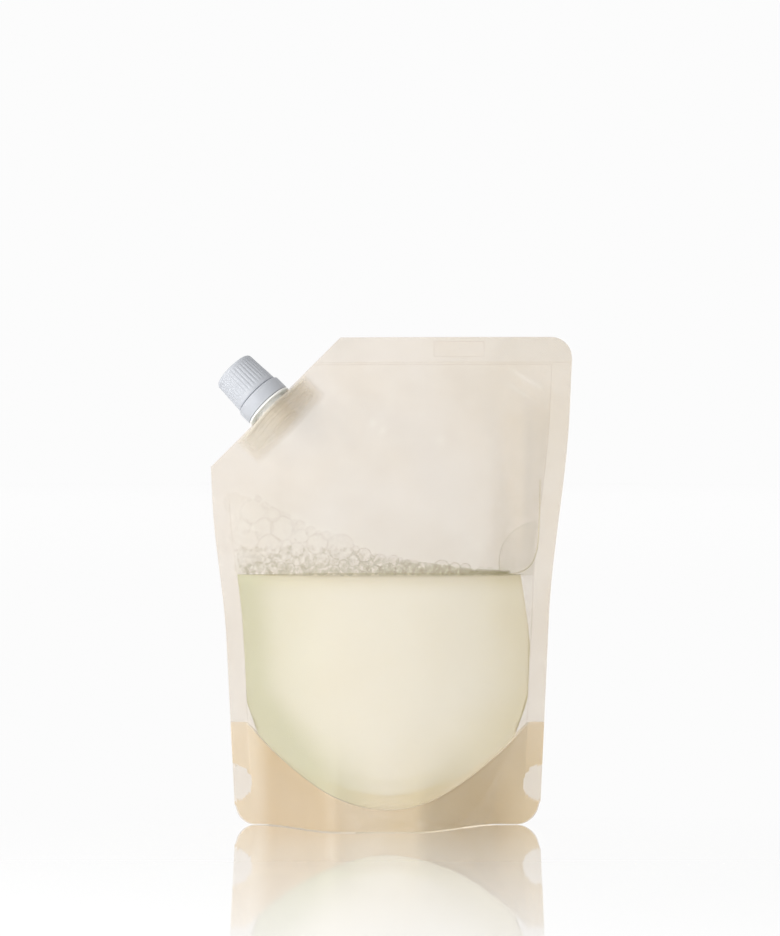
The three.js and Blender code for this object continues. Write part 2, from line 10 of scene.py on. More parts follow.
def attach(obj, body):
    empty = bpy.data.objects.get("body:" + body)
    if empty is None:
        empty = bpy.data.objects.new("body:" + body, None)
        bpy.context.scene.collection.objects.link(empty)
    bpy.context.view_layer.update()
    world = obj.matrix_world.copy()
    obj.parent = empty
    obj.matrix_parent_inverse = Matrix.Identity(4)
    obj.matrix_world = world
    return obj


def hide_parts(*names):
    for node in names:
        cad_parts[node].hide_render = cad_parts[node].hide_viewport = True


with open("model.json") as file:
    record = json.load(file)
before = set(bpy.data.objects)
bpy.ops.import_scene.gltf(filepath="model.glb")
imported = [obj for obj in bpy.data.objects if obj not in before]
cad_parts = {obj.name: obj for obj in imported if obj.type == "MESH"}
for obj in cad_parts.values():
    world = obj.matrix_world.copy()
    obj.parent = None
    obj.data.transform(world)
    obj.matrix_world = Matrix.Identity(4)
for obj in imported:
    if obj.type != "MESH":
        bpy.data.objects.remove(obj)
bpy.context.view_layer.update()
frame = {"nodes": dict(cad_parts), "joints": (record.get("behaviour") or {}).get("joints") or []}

# The photographer's view: a long lens, level, at the height of the pouch's shoulder.
# The picture is a portrait frame, so the sensor's length runs up the picture.
camera_data = bpy.data.cameras.new("camera")
camera_data.sensor_width = 36
camera_data.lens = 129.35
camera = bpy.data.objects.new("camera", camera_data)
camera.location = (0.0007, -1.547, 0.164)
camera.rotation_euler = (math.radians(90), 0, 0)
bpy.context.scene.collection.objects.link(camera)
bpy.context.scene.camera = camera
bpy.context.scene.view_settings.view_transform = "Standard"
bpy.context.scene.cycles.transparent_max_bounces = 40

# The film panels, front and back: a clear laminate cut to one outline, welded together along
# the sides, the top and the slope. The liquid and the spout's boat push them apart.
FILM = 0.00025
LAYER_GAP = 0.00004
WING_GAP = 0.00002
HEIGHT = 0.2243
FOOT_WIDTH = 0.1398
FOOT_CENTRE = -0.0004
CORNER_CUT = 0.0598
LEFT_SEAL = 0.0078
RIGHT_SEAL = 0.0092
TOP_SEAL = 0.0126
SLOPE_SEAL = 0.015
TOP_RADIUS = 0.0097
FOOT_RADII = (0.0093, 0.011)
GUSSET_HEIGHT = 0.0472
GUSSET_SEAL = 0.01
HALF_DEPTH = 0.0348
BELL_CENTRE = -0.005
BELL_FLAT = 0.016
BELL_RUN = 0.041
OPENING_RUN = 0.05
NECK_RUN = 0.03
BEND_RUN = 0.044
BOAT_HALF_LENGTH = 0.0217
SPOUT_LEAN = math.radians(10)
SPOUT_ALONG = 0.0388
SLOPE = math.sqrt(0.5)
PANEL_COLUMNS = 184
PANEL_ROWS = 236
EDGE_LIFT = 0.0004
WASH_LEVEL = 0.115
LEFT_SHORE = [
    (0.0440, -0.0605), (0.0471, -0.0614), (0.0504, -0.0630), (0.0570, -0.0655), (0.0620, -0.0700),
]
RIGHT_SHORE = [
    (0.0440, 0.0585), (0.0471, 0.0598), (0.0504, 0.0617), (0.0560, 0.0634), (0.0620, 0.0650),
    (0.0720, 0.0655), (0.0803, 0.0653), (0.0918, 0.0642), (0.1033, 0.0626), (0.1160, 0.0606),
]


def ease(t):
    t = min(max(t, 0.0), 1.0)
    return t * t * (3 - 2 * t)


def mix(a, b, t):
    return a + (b - a) * t


def left_edge(z):
    return FOOT_CENTRE - FOOT_WIDTH / 2 - 0.05 * z - 0.0035 * ease((z - 0.085) / 0.065)


def right_edge(z):
    return FOOT_CENTRE + FOOT_WIDTH / 2 + 0.045 * z + 0.0053 * ease((z - 0.095) / 0.095)


SHOULDER_Z = HEIGHT - CORNER_CUT
SHOULDER_X = left_edge(SHOULDER_Z)


def seal_lines(z):
    """Where the side seals end, left and right: the right one widens above the liquid."""
    widening = (RIGHT_SEAL - LEFT_SEAL) * (1 - ease((z - 0.09) / 0.05))
    return left_edge(z) + LEFT_SEAL, right_edge(z) - RIGHT_SEAL + widening


def station_at(x, z):
    low, high = seal_lines(z)
    return min(max((2 * x - low - high) / (high - low), -1), 1)


def inside_slope(x, z):
    return (x - SHOULDER_X - z + SHOULDER_Z) * SLOPE


def along_slope(x, z):
    return (x - SHOULDER_X + z - SHOULDER_Z) * SLOPE - SPOUT_ALONG


def boat_half(along):
    t = min(max(along / BOAT_HALF_LENGTH, -1), 1)
    return 0.0005 + 0.0089 * math.cos(math.pi / 2 * t) ** 2


def chamber_half(x, z):
    """Half the depth that the contents and the spout hold open."""
    rise = min(max((z - GUSSET_SEAL) / (HEIGHT - TOP_SEAL - GUSSET_SEAL), 0), 1)
    foot = (abs(x - BELL_CENTRE) - BELL_FLAT) / BELL_RUN
    bell = (1 + math.cos(math.pi * min(max(foot, 0), 1))) / 2
    section = mix(bell, 1 - station_at(x, z) ** 2, ease(z / GUSSET_HEIGHT))
    inside = inside_slope(x, z) - SLOPE_SEAL
    opening = 1 - (1 - min(max(inside / OPENING_RUN, 0), 1)) ** 2
    past_boat = abs(along_slope(x, z)) - BOAT_HALF_LENGTH
    neck = (boat_half(along_slope(x, z)) + 0.0004) * (1 - ease(past_boat / 0.002))
    neck *= (1 - ease(inside / NECK_RUN)) / math.cos(SPOUT_LEAN)
    return HALF_DEPTH * (1 - rise * rise) * section * opening + neck


def middle(x, z):
    """Where the two panels would meet: upright, and leaning back towards the spout."""
    into = inside_slope(x, z)
    bend = min(max((SLOPE_SEAL + BEND_RUN - into) / BEND_RUN, 0), 1)
    straight = max(0, SLOPE_SEAL - into)
    return math.tan(SPOUT_LEAN) * (bend * bend * BEND_RUN / 2 + straight)


def gusset_seal(x):
    """Height of the curved seal between a panel and the gusset, at a place across."""
    z = GUSSET_SEAL
    for _ in range(4):
        z = mix(GUSSET_SEAL, GUSSET_HEIGHT, station_at(x, z) ** 2)
    return z


def read_off(table, at):
    """A value between the rows of a table, and its end rows beyond them."""
    for (a, value_a), (b, value_b) in zip(table, table[1:]):
        if at <= b:
            return mix(value_a, value_b, min(max((at - a) / (b - a), 0), 1))
    return table[-1][1]


def shores(z):
    """The liquid's ends, left and right: it leaves a dry strip beside the right seal."""
    low, high = seal_lines(z)
    return max(read_off(LEFT_SHORE, z), low + 0.0002), min(read_off(RIGHT_SHORE, z), high - 0.0003)


def corner_rise(gap, radius):
    """How far a rounded corner lifts the edge, at a gap from the side edge."""
    d = max(radius - gap, 0)
    return radius - math.sqrt(max(radius * radius - d * d, 0))


def foot_rise(x):
    """How far the two rounded foot corners lift the lower edge, at a place across."""
    return corner_rise(x - left_edge(0), FOOT_RADII[0]) + corner_rise(right_edge(0) - x, FOOT_RADII[1])


def outline_span(share, row_share, lift):
    """A place in the outline: share runs from the left edge to the right one, row_share up."""
    z = row_share * HEIGHT
    for _ in range(5):
        left, right = left_edge(z), right_edge(z)
        x = mix(left, right, share)
        slope_top = SHOULDER_Z + (x - SHOULDER_X)
        top = min(HEIGHT - corner_rise(right_edge(HEIGHT - TOP_RADIUS) - x, TOP_RADIUS), slope_top)
        z = mix(max(foot_rise(x), lift), top, row_share)
    return x, z


# Straight marks on the film, from (x, z) to (x, z), with a width and a strength or a height.
# GLINTS are painted highlights: the film is made clearer along them, so lighter.
GLINTS = [
    (0.0570, 0.2090, 0.0690, 0.2015, 0.0009, 0.08),
    (0.0545, 0.2030, 0.0640, 0.1965, 0.0008, 0.05),
    (-0.0085, 0.1850, -0.0065, 0.1838, 0.0018, 0.035),
    (-0.0038, 0.1815, -0.0016, 0.1806, 0.0018, 0.035),
    (0.0140, 0.1890, 0.0165, 0.1876, 0.0018, 0.025),
    (0.0232, 0.1780, 0.0244, 0.1755, 0.0018, 0.03),
]
CREASES = [
    (0.0570, 0.2090, 0.0705, 0.2010, 0.0016, 0.0011),
    (0.0545, 0.2040, 0.0665, 0.1955, 0.0013, -0.0008),
    (0.0500, 0.1960, 0.0560, 0.1250, 0.0050, -0.0012),
    (0.0620, 0.1900, 0.0630, 0.1280, 0.0032, 0.0010),
    (-0.0300, 0.1930, -0.0180, 0.1700, 0.0030, 0.0009),
    (-0.0480, 0.1690, -0.0460, 0.1440, 0.0035, -0.0008),
    (-0.0240, 0.2060, -0.0020, 0.1980, 0.0030, -0.0009),
    (0.0000, 0.1800, 0.0200, 0.1500, 0.0080, 0.0010),
    (-0.0100, 0.1950, 0.0150, 0.1850, 0.0060, -0.0010),
    (0.0690, 0.1030, 0.0750, 0.0960, 0.0010, 0.0004),
    (0.0680, 0.0980, 0.0740, 0.0910, 0.0010, -0.0004),
]


def crease(x, z, x0, z0, x1, z1, width, height):
    run = Vector((x1 - x0, z1 - z0))
    t = Vector((x - x0, z - z0)).dot(run) / run.length_squared
    if t < -0.3 or t > 1.3:
        return 0
    off = abs((x - x0) * run.y - (z - z0) * run.x) / run.length
    ends = ease((t + 0.3) / 0.5) * ease((1.3 - t) / 0.5)
    return height * ends * math.exp(-((off / width) ** 2))


def ripple(x, z, side):
    """Small waves of the film where it is free, none in the seals."""
    free = min((1 - abs(station_at(x, z))) / 0.12, (inside_slope(x, z) - SLOPE_SEAL) / 0.01)
    free = min(free, (HEIGHT - TOP_SEAL - z) / 0.008, (z - gusset_seal(x)) / 0.006)
    if free <= 0:
        return 0
    slow = noise.noise(Vector((x * 38, side * 7, z * 26)))
    quick = noise.noise(Vector((x * 120, side * 5 + 3, z * 60)))
    above = ease((z - 0.112) / 0.02)
    waves = slow * mix(0.0002, 0.0007, above) + quick * mix(0.00002, 0.00014, above)
    folds = sum(crease(x, z, *fold) for fold in CREASES) * (1 if side < 0 else 0.6)
    return (waves + folds) * min(free, 1)


def node(tree, kind, **settings):
    made = tree.nodes.new(kind)
    for name, value in settings.items():
        setattr(made, name, value)
    return made


def maths(tree, operation, a, b=None):
    made = node(tree, "ShaderNodeMath", operation=operation)
    for slot, value in enumerate((a, b)):
        if value is None:
            continue
        if isinstance(value, (int, float)):
            made.inputs[slot].default_value = value
        else:
            tree.links.new(value, made.inputs[slot])
    return made.outputs[0]


def ranged(tree, value, low, high, to_low, to_high):
    made = node(tree, "ShaderNodeMapRange", interpolation_type="SMOOTHSTEP")
    tree.links.new(value, made.inputs["Value"])
    for name, number in zip(("From Min", "From Max", "To Min", "To Max"), (low, high, to_low, to_high)):
        made.inputs[name].default_value = number
    return made.outputs["Result"]


def blended(tree, share, a, b):
    """A colour between two, each a colour of its own or a socket."""
    made = node(tree, "ShaderNodeMix", data_type="RGBA")
    tree.links.new(share, made.inputs["Factor"])
    for name, value in (("A", a), ("B", b)):
        target = [s for s in made.inputs if s.name == name and s.type == "RGBA"][0]
        if isinstance(value, tuple):
            target.default_value = (*value, 1)
        else:
            tree.links.new(value, target)
    return [s for s in made.outputs if s.type == "RGBA"][0]


def new_material(name):
    """A material, with its node tree and its shader."""
    material = bpy.data.materials.new(name)
    material.use_nodes = True
    return material, material.node_tree, material.node_tree.nodes["Principled BSDF"]


def object_place(tree):
    return node(tree, "ShaderNodeTexCoord").outputs["Object"]


def object_axes(tree):
    """The place on the object, split into X, Y and Z."""
    axes = node(tree, "ShaderNodeSeparateXYZ")
    tree.links.new(object_place(tree), axes.inputs[0])
    return axes.outputs


def mottled(tree, scale, detail=2):
    """Soft noise over the object."""
    texture = node(tree, "ShaderNodeTexNoise")
    texture.inputs["Scale"].default_value = scale
    texture.inputs["Detail"].default_value = detail
    tree.links.new(object_place(tree), texture.inputs["Vector"])
    return texture.outputs["Fac"]


def turned_away(tree):
    """0 where a surface faces the ray, and 1 where it is seen edge-on."""
    weight = node(tree, "ShaderNodeLayerWeight")
    weight.inputs["Blend"].default_value = 0.5
    return weight.outputs["Facing"]


def added(tree, value, parts):
    """A value with masks added to it, each times its weight."""
    for mask, weight in parts:
        value = maths(tree, "ADD", value, maths(tree, "MULTIPLY", mask, weight))
    return value


def rough_bump(tree, shader, height, strength, distance):
    """Turns the surface's normal by a height."""
    bump = node(tree, "ShaderNodeBump")
    bump.inputs["Strength"].default_value = strength
    bump.inputs["Distance"].default_value = distance
    tree.links.new(height, bump.inputs["Height"])
    tree.links.new(bump.outputs["Normal"], shader.inputs["Normal"])


KNURL_PITCH = 0.00135


def film_group():
    """Cloudiness, fine scuffs and the seals' diamond knurl of the laminate, as masks."""
    group = bpy.data.node_groups.new("film_surface", "ShaderNodeTree")
    for name in ("Cloud", "Scuffs", "Knurl"):
        group.interface.new_socket(name, in_out="OUTPUT", socket_type="NodeSocketFloat")
    group.interface.new_socket("Knurl Pitch", in_out="INPUT", socket_type="NodeSocketFloat")
    inside = group.nodes.new("NodeGroupInput")
    out = group.nodes.new("NodeGroupOutput")
    axes = object_axes(group)
    turns = maths(group, "DIVIDE", math.pi, inside.outputs["Knurl Pitch"])
    waves = []
    for way in ("ADD", "SUBTRACT"):
        across = maths(group, "MULTIPLY", maths(group, way, axes["X"], axes["Z"]), turns)
        waves.append(maths(group, "ABSOLUTE", maths(group, "SINE", across)))
    group.links.new(mottled(group, 28, 3), out.inputs["Cloud"])
    group.links.new(mottled(group, 900), out.inputs["Scuffs"])
    group.links.new(maths(group, "MINIMUM", *waves), out.inputs["Knurl"])
    return group


film_surface = film_group()


def attribute(tree, name):
    return node(tree, "ShaderNodeAttribute", attribute_name=name).outputs["Fac"]


def line_mask(tree, gap, half_width):
    """1 on the line where a distance is 0, and 0 past its half width."""
    return ranged(tree, maths(tree, "ABSOLUTE", gap), 0, half_width, 1, 0)


def film_material(name, pale, deep, frost_and_painted_shade, clear_alpha, wet_alpha):
    """Laminate film: a little milky, clearer where the liquid wets it, with lines at its seals. Painted shade
    darkens it towards its right side; its shade layer adds frost, more painted shade and painted highlights.
    """
    material, tree, shader = new_material(name)
    surface = node(tree, "ShaderNodeGroup", node_tree=film_surface)
    surface.inputs["Knurl Pitch"].default_value = KNURL_PITCH
    seal_gap = attribute(tree, "seal_gap")
    knurl_gap = attribute(tree, "knurl_gap")
    shade = attribute(tree, "shade")
    axes = object_axes(tree)
    steep = ranged(tree, turned_away(tree), 0.35, 1.0, 0, 1)
    # Painted shade: darker and yellower towards the film's right side, away from the key light.
    painted_shade_right = ranged(tree, axes["X"], -0.03, 0.085, 0, 0.7)
    cloud = ranged(tree, surface.outputs["Cloud"], 0.35, 0.68, 0, 0.5)
    patches = ranged(tree, surface.outputs["Cloud"], 0.40, 0.60, 0.25, 1)
    knurled = maths(tree, "MULTIPLY", ranged(tree, knurl_gap, 0, 0.4, 0, 1), patches)
    pattern = maths(tree, "MULTIPLY", maths(tree, "SUBTRACT", surface.outputs["Knurl"], 0.35), knurled)
    colour = blended(tree, maths(tree, "ADD", cloud, painted_shade_right), pale, deep)
    # The shade layer mixes in the third colour, for frost over the spout's boat and for painted shade; below 0
    # it only makes the film clearer, as at the painted glints.
    tree.links.new(blended(tree, shade, colour, frost_and_painted_shade), shader.inputs["Base Color"])
    wet = ranged(tree, attribute(tree, "wet_gap"), -0.3, 0.5, 0, wet_alpha - clear_alpha)
    lines = maths(tree, "MAXIMUM", line_mask(tree, seal_gap, 0.5), line_mask(tree, knurl_gap, 0.35))
    below = ranged(tree, axes["Z"], 0.144, 0.158, 1, 0)
    off_shoulder = maths(tree, "MAXIMUM", below, ranged(tree, axes["X"], -0.055, -0.045, 0, 1))
    lines = maths(tree, "MULTIPLY", lines, off_shoulder)
    weights = ((steep, 0.10), (cloud, 0.03), (painted_shade_right, 0.02), (lines, 0.035), (shade, 0.42), (pattern, -0.085))
    tree.links.new(added(tree, maths(tree, "ADD", wet, clear_alpha), weights), shader.inputs["Alpha"])
    tree.links.new(ranged(tree, surface.outputs["Scuffs"], 0.3, 0.7, 0.30, 0.46), shader.inputs["Roughness"])
    shader.inputs["Specular IOR Level"].default_value = 0.3
    height = added(tree, pattern, ((surface.outputs["Scuffs"], 0.08),))
    rough_bump(tree, shader, height, 0.6, 0.0003)
    return material


def smooth(mesh):
    for face in mesh.polygons:
        face.use_smooth = True
    mesh.set_sharp_from_angle(angle=math.radians(50))


def finished(name, bm, material, body):
    """Makes the piece's object from its mesh, at the origin, and lets it ride on its body."""
    mesh = bpy.data.meshes.new(name)
    bm.to_mesh(mesh)
    bm.free()
    smooth(mesh)
    mesh.materials.append(material)
    piece = bpy.data.objects.new(name, mesh)
    bpy.context.scene.collection.objects.link(piece)
    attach(piece, body)
    return piece


def thicken(piece):
    """Gives a sheet its film's thickness, applied to the mesh."""
    wall = piece.modifiers.new("film", "SOLIDIFY")
    wall.thickness = FILM
    wall.offset = 0
    shown = piece.evaluated_get(bpy.context.evaluated_depsgraph_get())
    mesh = bpy.data.meshes.new_from_object(shown)
    piece.modifiers.clear()
    piece.data = mesh
    smooth(mesh)


# The plain plate in the top seal: its left and right ends, its lower edge and its upper one.
PLATE = (0.0210, 0.0440, 0.2153, 0.2223)


def foot_gap(x, z):
    """How far a place is above the gusset's curved seam."""
    lean = 2 * (GUSSET_HEIGHT - GUSSET_SEAL) * station_at(x, z) / (FOOT_WIDTH / 2 - LEFT_SEAL)
    return (z - gusset_seal(x)) / math.hypot(1, lean)


def seal_gap(x, z):
    """How far a place is inside the seams, and below 0 in them. The slope's seam shows no line."""
    low, high = seal_lines(z)
    return min(x - low, high - x, HEIGHT - TOP_SEAL - z, foot_gap(x, z))


def wet_gap(x, z):
    low, high = shores(z)
    return min(x - low, high - x, WASH_LEVEL - z, foot_gap(x, z))


def knurl_gap(x, z):
    """The top seal is knurled all over, apart from a plain plate."""
    inset = min(x - PLATE[0], PLATE[1] - x, z - PLATE[2], PLATE[3] - z)
    return min(z - HEIGHT + TOP_SEAL - 0.001, -inset)


def mark(v, layers, x, z, shade):
    """Notes at a point how many millimetres it is from the seams, the liquid and the knurl."""
    for layer, gap in zip(layers, (seal_gap, wet_gap, knurl_gap)):
        v[layer] = 1000 * gap(x, z)
    v[layers[3]] = shade


def over_boat(x, z):
    """1 where the film is welded on the spout's boat, and frosted by it."""
    into = inside_slope(x, z)
    ends = ease((BOAT_HALF_LENGTH + 0.0012 - abs(along_slope(x, z))) / 0.0026)
    return ends * ease(into / 0.001) * (1 - ease((into - 0.0115) / 0.0045))


def leaning(x, z):
    """How much deeper a film is straight through, where its panel leans."""
    step = 0.0005
    here = chamber_half(x, z)
    across = (chamber_half(x + step, z) - here) / step
    up = (chamber_half(x, z + step) - here) / step
    return math.sqrt(1 + across * across + up * up)


def film_shade(x, z):
    """Darker over the spout's boat, where it is frosted, with painted shade beside the right seal and painted
    highlights at small glints.
    """
    low, high = seal_lines(z)
    # Painted shade: a band inside the right seal, from above the liquid up towards the shoulder.
    beside = ease((x - high + 0.027) / 0.014) * ease((high - x + 0.0004) / 0.0012)
    beside *= ease((z - 0.110) / 0.01) * (1 - ease((z - 0.180) / 0.025))
    lights = sum(crease(x, z, *glint) for glint in GLINTS)
    return 0.22 * over_boat(x, z) + 0.14 * beside - lights


def film_grid(columns, rows):
    """A grid one unit wide and high, with the layers that the film's material reads."""
    bm = bmesh.new()
    layers = [bm.verts.layers.float.new(key) for key in ("seal_gap", "wet_gap", "knurl_gap", "shade")]
    bmesh.ops.create_grid(bm, x_segments=columns, y_segments=rows, size=0.5)
    return bm, layers


def spread(share):
    """A share across the grid, with the columns closer together towards the sides."""
    return mix(share, 0.5 - 0.5 * math.cos(math.pi * share), 0.35)


def film_panel(name, side, material):
    """A panel, at side -1 for the front one. Below the seam it leaves room for the gusset's wing."""
    bm, layers = film_grid(PANEL_COLUMNS, PANEL_ROWS)
    for v in bm.verts:
        x, z = outline_span(spread(v.co.x + 0.5), v.co.y + 0.5, EDGE_LIFT if side < 0 else 0)
        lean = leaning(x, z) if z < gusset_seal(x) else 1
        room = WING_GAP + ((FILM + LAYER_GAP) * lean if z < gusset_seal(x) else 0)
        mark(v, layers, x, z, film_shade(x, z))
        stand = chamber_half(x, z) + room + FILM / 2 * lean
        wave = ripple(x, z, side)
        y = middle(x, z) + side * max(stand + wave, room + FILM / 2)
        v.co = (x, y, z)
    if side > 0:
        bmesh.ops.reverse_faces(bm, faces=bm.faces)
    piece = finished(name, bm, material, "pouch")
    thicken(piece)
    return piece


# Its third colour is for the frost over the spout's boat and for the painted shade beside the right seal.
film = film_material(
    "clear_film", (0.685, 0.575, 0.445), (0.62, 0.49, 0.31), (0.64, 0.59, 0.46), 0.152, 0.088)
front_film = film_panel("front_film", -1, film)
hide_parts("front_panel")
back_film = film_panel("back_film", 1, film)
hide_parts("back_panel")

# The bottom gusset: one sheet of the same film, folded like a W. Its two wings are welded to
# the panels up to a curved seam, and the free sheet between them hangs down to the shelf.
GUSSET_COLUMNS = 170
WING_ROWS = 26
CROSSING_ROWS = 30
GUSSET_SAG = 1.35
PUNCH_RADIUS = 0.0085
PUNCH_HEIGHT = 0.0191
HANGING_SHADE = -0.62


def crossing_height(x, across_share):
    """Height of the hanging sheet, from -1 at the front seam to 1 at the back one."""
    z = gusset_seal(x)
    reach = chamber_half(x, z) + WING_GAP
    length = GUSSET_HEIGHT - z
    slack = max(0, 1.5 * reach * (length - reach))
    return max(FILM, z - GUSSET_SAG * math.sqrt(slack) * (1 - across_share ** 2))


def gusset_place(share, row):
    """A point of the gusset: rows 0 to 1 climb the front wing, to 2 cross, to 3 go down again."""
    x0 = mix(left_edge(0.02), right_edge(0.02), share)
    side = -1 if row < 1.5 else 1
    if 1 < row < 2:
        t = mix(-1, 1, row - 1)
        z = gusset_seal(x0)
        reach = chamber_half(x0, z) + WING_GAP
        return Vector((x0, t * reach, crossing_height(x0, t) - FILM / 2))
    up = row if row <= 1 else 3 - row
    top = gusset_seal(x0)
    z = mix(max(foot_rise(x0), EDGE_LIFT if side < 0 else FILM), top, up)
    x = mix(left_edge(z), right_edge(z), share)
    half = chamber_half(x, z) + WING_GAP + FILM / 2 * leaning(x, z)
    return Vector((x, side * half, z))


def shadow_at(x):
    """Painted shadow for the front wing, where the wings stand in front of the gusset's folds, the right one in
    front of the deepest.
    """
    right = ease((x - 0.014) / 0.024) * (1 - ease((x - 0.0470) / 0.019))
    left = ease((x + 0.066) / 0.014) * (1 - ease((x + 0.036) / 0.03))
    centre = ease((x + 0.036) / 0.03) * (1 - ease((x - 0.014) / 0.024))
    return 0.32 * right + 0.66 * left + 0.22 * centre


def bottom_gusset(material):
    rows = 2 * WING_ROWS + CROSSING_ROWS
    bm, layers = film_grid(GUSSET_COLUMNS, rows)
    for v in bm.verts:
        step = (v.co.y + 0.5) * rows
        row = min(step / WING_ROWS, 1)
        row += min(max((step - WING_ROWS) / CROSSING_ROWS, 0), 1)
        row += max((step - WING_ROWS - CROSSING_ROWS) / WING_ROWS, 0)
        v.co = gusset_place(spread(v.co.x + 0.5), row)
        x = v.co.x
        v[layers[0]] = -5 if 1.1 < row < 1.9 else min(1000 * foot_gap(x, v.co.z), 0)
        v[layers[1]] = v[layers[2]] = -5
        # Only the front wing takes the painted shadow; the hanging sheet is made clearer.
        v[layers[3]] = shadow_at(x) if row <= 1 else HANGING_SHADE if row < 2 else 0
    punched = []
    for face in bm.faces:
        at = face.calc_center_median()
        for edge in (left_edge(PUNCH_HEIGHT), right_edge(PUNCH_HEIGHT)):
            if math.hypot(at.x - edge, at.z - PUNCH_HEIGHT) < PUNCH_RADIUS:
                punched.append(face)
    bmesh.ops.delete(bm, geom=punched, context="FACES")
    piece = finished("gusset_film", bm, material, "pouch")
    thicken(piece)
    return piece


# Its third colour is the dark tan of the wing's painted shadow.
gusset_film = film_material(
    "tan_gusset_film", (0.885, 0.79, 0.63), (0.87, 0.75, 0.53), (0.46, 0.31, 0.11), 0.34, 0.34)
gusset = bottom_gusset(gusset_film)
gusset.visible_shadow = False
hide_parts("bottom_gusset")

# The spout: one moulding of natural polyethylene. Its boat-shaped base is welded between the
# panels, and a ribbed neck with a flange, a bead and a thread stands out of the slope.
turn = frame["joints"][0]
spout_at = Vector(turn["pos_m"])
spout_out = Vector(turn["axis"]).normalized()
spout_along = Vector((SLOPE, 0, SLOPE))
spout_across = spout_out.cross(spout_along)
spout_axes = Matrix((spout_along, spout_across, spout_out)).transposed().to_4x4()
spout_frame = Matrix.Translation(spout_at) @ spout_axes


def moulded(name, colour, deep, glow):
    """Moulded polyethylene: slightly uneven in colour, with a fine satin grain."""
    material, tree, shader = new_material(name)
    cloud = ranged(tree, mottled(tree, 90), 0.35, 0.65, 0, 1)
    tree.links.new(blended(tree, cloud, colour, deep), shader.inputs["Base Color"])
    grain = mottled(tree, 2600)
    tree.links.new(ranged(tree, grain, 0.3, 0.7, 0.44, 0.56), shader.inputs["Roughness"])
    rough_bump(tree, shader, grain, 0.08, 0.00002)
    shader.inputs["Subsurface Weight"].default_value = glow
    shader.inputs["Subsurface Radius"].default_value = (0.004, 0.0038, 0.0036)
    shader.inputs["Subsurface Scale"].default_value = 1
    return material, tree, shader


def along_axis(tree, axis):
    """How far a place is from the spout's origin along one of its axes."""
    along = node(tree, "ShaderNodeVectorMath", operation="DOT_PRODUCT")
    tree.links.new(object_place(tree), along.inputs[0])
    along.inputs[1].default_value = axis
    return maths(tree, "SUBTRACT", along.outputs["Value"], spout_at.dot(axis))


# Greyer at its lower end, whiter at the flange as painted light that lifts the shadow under it, and lost in the
# film at the foot and the tips.
natural, tree, shader = moulded("natural_polyethylene", (0.80, 0.735, 0.615), (0.77, 0.705, 0.585), 0.25)
height_out = along_axis(tree, spout_out)
reach_along = along_axis(tree, spout_along)
tint = shader.inputs["Base Color"].links[0].from_socket
tint = blended(tree, ranged(tree, reach_along, -0.012, 0.006, 1, 0), tint, (0.80, 0.79, 0.72))
# Painted light: whiter near the flange, lifting the shadow under it.
tint = blended(tree, ranged(tree, height_out, -0.004, -0.001, 0, 1), tint, (0.93, 0.92, 0.87))
tree.links.new(tint, shader.inputs["Base Color"])
foot = ranged(tree, height_out, -0.0137, -0.0070, 0.06, 0.46)
foot = maths(tree, "MAXIMUM", foot, ranged(tree, height_out, -0.0035, -0.0015, 0, 1))
tips = ranged(tree, maths(tree, "ABSOLUTE", reach_along), 0.0160, BOAT_HALF_LENGTH, 1, 0.15)
tree.links.new(maths(tree, "MULTIPLY", foot, tips), shader.inputs["Alpha"])
spout = frame["nodes"]["spout"]
spout.data.materials.clear()
spout.data.materials.append(natural)

# The body wash: clear, pale yellow and half filling the pouch. It takes the form of the
# panels and of the hanging gusset, up to a level top.
WASH_COLUMNS = 160
WASH_RING = 150
END_ROUND = 0.0016
SURFACE_DEPTH = 0.0003
FILM_CLEARANCE = 0.0002


def wash_material():
    """Clear in the middle; painted shade makes it greener at its left end, browner at its right and dark along
    its top surface.
    """
    material, tree, shader = new_material("pale_body_wash")
    rim, low, surface, under = (attribute(tree, key) for key in ("rim", "low", "surface", "under"))
    right = ranged(tree, object_axes(tree)["X"], -0.02, 0.02, 0, 1)
    # Painted shade at the liquid's ends: greener at the left and browner at the right.
    end = blended(tree, right, (0.57, 0.575, 0.375), (0.69, 0.57, 0.19))
    colour = blended(tree, low, (0.882, 0.836, 0.645), (0.70, 0.63, 0.40))
    colour = blended(tree, rim, colour, end)
    # Painted shade along the top surface, where it is seen edge-on.
    colour = blended(tree, surface, colour, (0.48, 0.45, 0.24))
    tree.links.new(colour, shader.inputs["Base Color"])
    steep = ranged(tree, turned_away(tree), 0.6, 1.0, 0, 1)
    alpha = maths(tree, "ADD", maths(tree, "MULTIPLY", steep, 0.15), 0.33)
    alpha = added(tree, alpha, ((rim, 0.25), (low, 0.08), (surface, 0.12), (under, -0.40)))
    tree.links.new(alpha, shader.inputs["Alpha"])
    shader.inputs["Roughness"].default_value = 0.4
    shader.inputs["Specular IOR Level"].default_value = 0.3
    return material


def rim_at(x, z):
    """Where painted shade darkens the liquid: 1 at its ends and along its steep seam, 0 in its middle."""
    low, high = shores(max(z, GUSSET_HEIGHT))
    left = 0.45 * (1 - ease((x - low - 0.004) / 0.014)) + 0.55 * (1 - ease((x - low - 0.004) / 0.055))
    right = 0.36 * (1 - ease((high - x - 0.001) / 0.030))
    lean = 1.2 * abs(station_at(x, z))
    seam = (1 - ease((foot_gap(x, z) - 0.003) / 0.034)) * lean / math.hypot(1, lean)
    return max(left, right, min(seam * mix(1.8, 0.65, ease((x + 0.02) / 0.04)), 1))


def low_at(x, z):
    """The band over the seam's lowest stretch, and the painted shade under the foam."""
    gap = foot_gap(x, z)
    band = (1 - ease((gap - 0.0065) / 0.002)) * (1 - ease((abs(x + 0.004) - 0.022) / 0.02))
    return max(band, 1 - ease((WASH_LEVEL - z) / 0.009))


def across_wash(share, z):
    low, high = shores(z)
    return mix(low, high, share)


